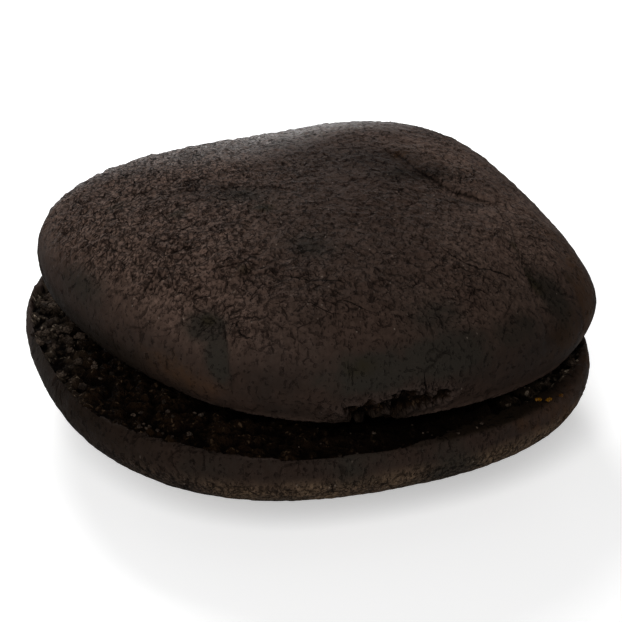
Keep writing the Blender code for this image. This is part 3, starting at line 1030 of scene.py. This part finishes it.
# %% Colour formulas
class Colouring(Texture):
    """A material's formula, which can read what is painted on the mesh and mix colours."""

    def painted(self, label, output="Fac"):
        return self.node("ShaderNodeAttribute", attribute_name=label).outputs[output]

    def mixed(self, share, first, second):
        made = self.node("ShaderNodeMix", data_type="RGBA", clamp_factor=True)
        self.feed(made.inputs["Factor"], share)
        self.feed(made.inputs["A"], first)
        self.feed(made.inputs["B"], second)
        return made.outputs["Result"]

    def mottled(self, label, uneven, amount):
        """A painted number made stronger and weaker by noise."""
        return self.total(self.painted(label), self.product(uneven, self.painted(label), amount))

    def ragged(self, label, uneven):
        """A painted patch with an uneven outline."""
        given = self.painted(label)
        torn_outline = self.ramp(self.total(given, self.product(uneven, 0.7)), 0.15, 0.75)
        return self.product(torn_outline, self.ramp(given, 0, 0.15))


# %% Skin and crumb, layer by layer
def skin_colour(f, place, uneven, crackle, lip, tear):
    """The skin's colour, from the base up to the cracks."""
    blotches = f.ramp(f.noise(place, 8 * MM, 3.0, 0.6), 0.35, 0.65)
    # Painted light: the floor's glow in the pale and golden layers, and the glints. Painted shade: the
    # grooves between plates, the grey hollows, the shade layer, the cracks and the tears.
    layers = (
        (f.mottled("pale_and_lit", uneven, 1.2), PALE_AND_LIT_SKIN),
        (f.product(blotches, 0.35), REDDER_SKIN),
        (f.mottled("lit_from_below", uneven, 1.5), FLOOR_LIT_SKIN),
        (f.product(crackle.outputs["Tone and groove shade"], 0.72), DARKER_SKIN),
        (f.product(f.ragged("grey_and_shade", uneven), 0.85), GREY_AND_SHADED_SKIN),
        (f.product(f.ragged("scorched", uneven), 0.6), SCORCHED_SKIN),
        (f.product(f.ragged("olive", uneven), 0.7), OLIVE_SKIN),
        (f.product(crackle.outputs["Glints"], 0.6), GLINT_COLOUR),
        (f.product(lip, 0.5), LIP_COLOUR),
        (f.mottled("painted_shade", uneven, 0.8), PAINTED_SHADE_SKIN),
        (f.product(crackle.outputs["Cracks"], 0.93), CRACK_SHADE),
        (tear, CRACK_SHADE),
    )
    skin = DARK_SKIN
    for share, colour in layers:
        skin = f.mixed(share, skin, colour)
    return skin


def crumb_colour(f, crumb):
    """The torn inside: dry or moist granules with tips painted lit, and painted shade, near black, in
    the pores and wherever the crumb lies in shade.
    """
    dry = f.mixed(crumb.outputs["Bright"], CRUMB_DARK, CRUMB_LIGHT)
    moist = f.mixed(crumb.outputs["Bright"], MOIST_DARK, MOIST_LIGHT)
    inside = f.mixed(f.painted("moist"), dry, moist)
    # Painted shade: the pores, and wherever the painted "deep" number says the crumb lies in shade, go near
    # black.
    dark = f.largest(crumb.outputs["Hollow shade"], f.product(f.painted("deep"), 0.95))
    return f.mixed(dark, inside, CRUMB_SHADE_COLOUR)


# %% [markdown]
# ## The cake material
#
# Skin and crumb are one sponge, so one material serves both, and each cake's painted numbers say
# where it is torn. Sponge is dull: hardly any mirror light, and a high roughness. Only where the
# plateau turns down at the back does the fat in the skin shine, and a thin rough coat does that.

# %% The cake material
SPECULAR = 0.03
COAT_ROUGHNESS = 0.50
UPPER_ROUGHNESS = 0.75
LOWER_ROUGHNESS = 0.80
ROUGHNESS_SWING = 0.06


def cake_material(name, roughness, stretch):
    material = bpy.data.materials.new(name)
    material.use_nodes = True
    shader = material.node_tree.nodes["Principled BSDF"]
    f = Colouring(material.node_tree)
    place = f.painted("rest", "Vector")
    crackle = f.node("ShaderNodeGroup", node_tree=SHADER_CRACKLE)
    f.feed(crackle.inputs["Place"], place)
    f.feed(crackle.inputs["Coarse"], f.painted("coarse"))
    f.feed(crackle.inputs["Stretch"], stretch)
    crumb = f.node("ShaderNodeGroup", node_tree=SHADER_CRUMB)
    f.feed(crumb.inputs["Place"], place)
    f.feed(crumb.inputs["Edge"], f.painted("edge"))
    bare = crumb.outputs["Bare"]
    cracks = crackle.outputs["Cracks"]
    uneven = f.waves(place, 2.5 * MM, 3.0, 0.6)

    # Long tears wander a little to both sides of their painted line. They and the fold lines are
    # painted near black, as the shade in them.
    wander = f.product(f.waves(place, 0.5 * MM, 2.0, 0.7), 0.6)
    off_line = f.math("ABSOLUTE", f.total(f.painted("line"), wander))
    tear = f.product(f.ramp(off_line, 0.02, 0.26, 1.0, 0.0), f.painted("shows"))

    skin = skin_colour(f, place, uneven, crackle, crumb.outputs["Lip"], tear)
    f.feed(shader.inputs["Base Color"], f.mixed(bare, skin, crumb_colour(f, crumb)))

    rough = f.ramp(uneven, -0.2, 0.2, roughness - ROUGHNESS_SWING, roughness + ROUGHNESS_SWING)
    rough = f.total(rough, f.product(cracks, 0.2))
    f.feed(shader.inputs["Roughness"], f.largest(rough, f.product(bare, 0.85)))
    shader.inputs["Specular IOR Level"].default_value = SPECULAR

    whole = f.less(1.0, f.largest(cracks, bare))
    bloom = f.ramp(f.noise(place, 0.6 * MM, 2.0), 0.3, 0.7, 0.5, 1.3)
    f.feed(shader.inputs["Coat Weight"], f.product(f.painted("gloss"), whole, bloom))
    shader.inputs["Coat Roughness"].default_value = COAT_ROUGHNESS

    skin_fine = f.total(crackle.outputs["Fine"], f.product(tear, -0.15 * MM))
    height = f.total(f.product(skin_fine, f.less(1.0, bare)), f.product(crumb.outputs["Fine"], bare))
    bump = f.node("ShaderNodeBump")
    bump.inputs["Distance"].default_value = 1.0
    f.feed(bump.inputs["Height"], height)
    f.feed(shader.inputs["Normal"], bump.outputs["Normal"])
    print(name, "has", len(material.node_tree.nodes), "nodes")
    return material


upper.data.materials.append(cake_material("upper cake", UPPER_ROUGHNESS, UPPER_STRETCH))
lower.data.materials.append(cake_material("lower cake", LOWER_ROUGHNESS, LOWER_STRETCH))


# %% [markdown]
# ## Loose crumbs and sugar
#
# Pulling the cakes apart left crumbs on the torn top, most of them at its two ends, and a few
# amber grains of sugar at the right. A particle system would scatter them, but the export drops
# particles. A crumb is a small ball pushed in and out at random, all of them are one mesh, and
# each rests on the nearest spot of the torn top. The random numbers start from a fixed seed, so
# every run lays the same crumbs.

# %% Shaping a lump
RANDOM = np.random.default_rng(20)


def lump(size, roughness, flatness):
    """The corners and faces of one rough lump round the origin."""
    ball = bmesh.new()
    bmesh.ops.create_icosphere(ball, subdivisions=2, radius=0.5)
    corners = np.array([vert.co for vert in ball.verts])
    faces = [[vert.index for vert in face.verts] for face in ball.faces]
    ball.free()
    corners *= 1 + roughness * RANDOM.uniform(-1, 1, (len(corners), 1))
    corners *= RANDOM.uniform(0.7, 1.2, 3) * np.array([1, 1, flatness])
    turn = RANDOM.uniform(0, math.tau)
    cosine, sine = math.cos(turn), math.sin(turn)
    turned = np.array([[cosine, -sine, 0], [sine, cosine, 0], [0, 0, 1]])
    return corners @ turned.T * size, faces


# %% Laying lumps
LUMP_RISES = 0.30
LUMP_FLATNESS = 0.7
STEEPEST = 0.5
ROOM_PER_SIZE = 0.8


def scattered(name, heaps, roughness, keep_clear, furthest):
    """One mesh of lumps laid on the lower cake's relief. Each heap has a middle, a spread, a
    number and the smallest and largest size, in millimetres. A lump that would land on a steep
    spot, too far out or, if asked, against the upper cake is left out."""
    ground = BVHTree.FromObject(lower, bpy.context.evaluated_depsgraph_get())
    roof = BVHTree.FromObject(upper, bpy.context.evaluated_depsgraph_get())
    centre = on_cake("cake_bottom", (0, 0, 0))
    half = on_cake("cake_bottom", (1, 0, 0))[0] - centre[0]
    all_corners, all_faces, shades = [], [], []
    for share, spread, number, sizes in heaps:
        for _ in range(number):
            size = RANDOM.uniform(*sizes) * MM
            wanted = on_cake("cake_bottom", share) + RANDOM.normal(0, spread * MM, 3) * (1, 1, 0)
            spot, normal, _, _ = ground.find_nearest(Vector(wanted))
            reach = math.hypot(spot.x - centre[0], spot.y - centre[1]) / half
            if normal.z < STEEPEST or reach > furthest:
                continue
            middle = spot + normal * (LUMP_RISES * LUMP_FLATNESS * size)
            if keep_clear and roof.find_nearest(middle)[3] < ROOM_PER_SIZE * size:
                continue
            corners, faces = lump(size, roughness, LUMP_FLATNESS)
            start = len(shades)
            all_corners.extend(corners + np.array(middle))
            all_faces.extend([start + corner for corner in face] for face in faces)
            shades.extend([RANDOM.uniform(0, 1)] * len(corners))
    mesh = bpy.data.meshes.new(name)
    mesh.from_pydata([tuple(corner) for corner in all_corners], [], all_faces)
    shade = mesh.attributes.new("shade", "FLOAT", "POINT")
    shade.data.foreach_set("value", np.array(shades, np.float32))
    piece = bpy.data.objects.new(name, mesh)
    bpy.context.scene.collection.objects.link(piece)
    print(name, "has", len(mesh.polygons), "triangles")
    return piece


# %% The crumbs and the sugar
CRUMB_HEAPS = (
    ((0.92, -0.24, 0.75), 1.4, 60, (0.4, 1.3)),
    ((0.88, -0.36, 0.75), 1.4, 20, (0.4, 0.9)),
    ((-0.91, 0.12, 1.00), 1.6, 60, (0.5, 1.6)),
    ((-0.87, -0.15, 0.99), 2.0, 50, (0.4, 1.5)),
    ((-0.75, -0.42, 0.95), 3.0, 30, (0.4, 1.2)),
    ((-0.45, -0.74, 0.95), 3.5, 20, (0.4, 1.0)),
    ((0.05, -0.90, 0.90), 5.0, 14, (0.3, 0.7)),
    ((0.48, -0.78, 0.79), 2.0, 8, (0.3, 0.6)),
)
SUGAR_HEAPS = (
    ((0.785, -0.545, 0.76), 0.15, 2, (0.7, 1.0)),
    ((0.820, -0.535, 0.75), 0.20, 2, (0.6, 0.9)),
    ((0.870, -0.500, 0.73), 0.15, 2, (0.5, 0.7)),
)
crumbs = scattered("loose_crumbs", CRUMB_HEAPS, roughness=0.30, keep_clear=True, furthest=0.96)
sugar = scattered("amber_sugar", SUGAR_HEAPS, roughness=0.40, keep_clear=False, furthest=1.05)


# %% [markdown]
# ### What crumbs and sugar are made of
#
# Crumbs are the same sponge, so they are as dull as the cakes, and each has its own shade between
# two browns. Sugar that has caramelised is smoother and has a weak coat for its glint.

# %% The lumps' materials
CRUMB_BLACK = (0.006, 0.004, 0.003, 1)
CRUMB_BROWN = (0.070, 0.050, 0.037, 1)
AMBER_DARK = (0.050, 0.018, 0.001, 1)
AMBER_LIGHT = (0.180, 0.078, 0.004, 1)


def lump_material(name, dark, light, roughness, coat):
    material = bpy.data.materials.new(name)
    material.use_nodes = True
    shader = material.node_tree.nodes["Principled BSDF"]
    f = Colouring(material.node_tree)
    grain = f.noise(f.node("ShaderNodeTexCoord").outputs["Object"], 0.3 * MM, 2.0)
    shade = f.product(f.painted("shade"), f.ramp(grain, 0.35, 0.65, 0.3, 1.4))
    f.feed(shader.inputs["Base Color"], f.mixed(shade, dark, light))
    shader.inputs["Roughness"].default_value = roughness
    shader.inputs["Specular IOR Level"].default_value = SPECULAR
    shader.inputs["Coat Weight"].default_value = coat
    bump = f.node("ShaderNodeBump")
    bump.inputs["Distance"].default_value = 1.0
    f.feed(bump.inputs["Height"], f.product(grain, 0.2 * MM))
    f.feed(shader.inputs["Normal"], bump.outputs["Normal"])
    return material


crumbs.data.materials.append(lump_material("loose crumb", CRUMB_BLACK, CRUMB_BROWN, 0.9, 0.0))
sugar.data.materials.append(lump_material("amber sugar", AMBER_DARK, AMBER_LIGHT, 0.5, 0.1))
print("crumbs and sugar coloured")


# %% [markdown]
# ## Riding on the frame
#
# Nothing on a whoopie pie moves on its own, so every piece rides on the one body. The two wrapped
# cakes stand for the imported solids, which stay hidden and keep their part in collision. Crumbs
# and sugar only ride.

# %% Riding on the frame
for piece, node, slot in ((upper, "cake_top", "upper_cake"), (lower, "cake_bottom", "lower_cake")):
    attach(piece, "root")
    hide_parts(node)
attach(crumbs, "root")
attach(sugar, "root")
print("riding:", [piece.name for piece in (upper, lower, crumbs, sugar)])


# %% [markdown]
# ## The studio
#
# Dark food on a white floor needs soft, rather low light from behind, which draws a pale line
# along its top edge and shows its relief, and a soft light from above the front to fill it in. The
# floor glows a little by itself, so that it stays white round so dark a thing.

# %% The floor
FLOOR_SIZE = 6.0
FLOOR_WHITE = (0.92, 0.92, 0.92, 1)
FLOOR_GLOW = 0.12
FLOOR_GLOW_SEEN = 0.35


def make_floor():
    mesh = bpy.data.meshes.new("floor")
    sheet = bmesh.new()
    bmesh.ops.create_grid(sheet, x_segments=1, y_segments=1, size=FLOOR_SIZE)
    sheet.to_mesh(mesh)
    sheet.free()
    floor = bpy.data.objects.new("floor", mesh)
    floor.location.z = LOW[2]
    bpy.context.scene.collection.objects.link(floor)
    paper = bpy.data.materials.new("white paper")
    paper.use_nodes = True
    shader = paper.node_tree.nodes["Principled BSDF"]
    shader.inputs["Base Color"].default_value = FLOOR_WHITE
    shader.inputs["Roughness"].default_value = 0.9
    shader.inputs["Specular IOR Level"].default_value = 0.0
    shader.inputs["Emission Color"].default_value = (1, 1, 1, 1)
    f = Formula(paper.node_tree)
    seen = f.node("ShaderNodeLightPath").outputs["Is Camera Ray"]
    f.feed(shader.inputs["Emission Strength"], f.math("MULTIPLY_ADD", seen, FLOOR_GLOW_SEEN, FLOOR_GLOW))
    mesh.materials.append(paper)


make_floor()
print("floor at", round(LOW[2] / MM, 2), "mm")


# %% The lights
# Each light: its name, its place from the pie's middle and its width in metres, and its watts.
LIGHTS = (
    ("front softbox", (-0.10, -0.50, 0.40), 0.35, 2.2),
    ("back softbox", (-0.16, 0.48, 0.40), 0.30, 2.6),
    ("low back light", (0.10, 0.64, 0.09), 0.14, 0.4),
    ("low left light", (-0.32, 0.55, 0.09), 0.14, 0.7),
)
WORLD_STRENGTH = 0.12


def area_light(name, place, width, watts):
    """A round soft light that faces the pie."""
    lamp = bpy.data.lights.new(name, "AREA")
    lamp.shape = "DISK"
    lamp.size = width
    lamp.energy = watts
    light = bpy.data.objects.new(name, lamp)
    light.location = MIDDLE + Vector(place)
    light.rotation_euler = (MIDDLE - light.location).to_track_quat("-Z", "Y").to_euler()
    bpy.context.scene.collection.objects.link(light)


for light in LIGHTS:
    area_light(*light)
world = bpy.data.worlds.new("studio")
world.use_nodes = True
world.node_tree.nodes["Background"].inputs["Color"].default_value = (1, 1, 1, 1)
world.node_tree.nodes["Background"].inputs["Strength"].default_value = WORLD_STRENGTH
bpy.context.scene.world = world
bpy.context.scene.view_settings.view_transform = "Standard"
print(len(LIGHTS), "lights,", round(sum(watts for _, _, _, watts in LIGHTS), 1), "W together")


# %% [markdown]
# ## The camera
#
# It looks down at the pie at about 27 degrees, as one looks at a plate from a chair. A long lens
# from 0.4 m away keeps the perspective gentle.

# %% The camera
ELEVATION = math.radians(27.1)
DISTANCE = 0.40
FOCAL_LENGTH = 147.2
SENSOR_WIDTH = 36.0
AIM = MIDDLE + Vector((0.5 * MM, -1.5 * MM, -2.7 * MM))
camera_data = bpy.data.cameras.new("camera")
camera_data.lens = FOCAL_LENGTH
camera_data.sensor_width = SENSOR_WIDTH
camera_data.clip_start = 0.01
camera = bpy.data.objects.new("camera", camera_data)
camera.location = AIM + DISTANCE * Vector((0, -math.cos(ELEVATION), math.sin(ELEVATION)))
camera.rotation_euler = (math.pi / 2 - ELEVATION, 0, 0)
bpy.context.scene.collection.objects.link(camera)
bpy.context.scene.camera = camera
print("view", round(DISTANCE * SENSOR_WIDTH / FOCAL_LENGTH / MM, 1), "mm wide at the pie")
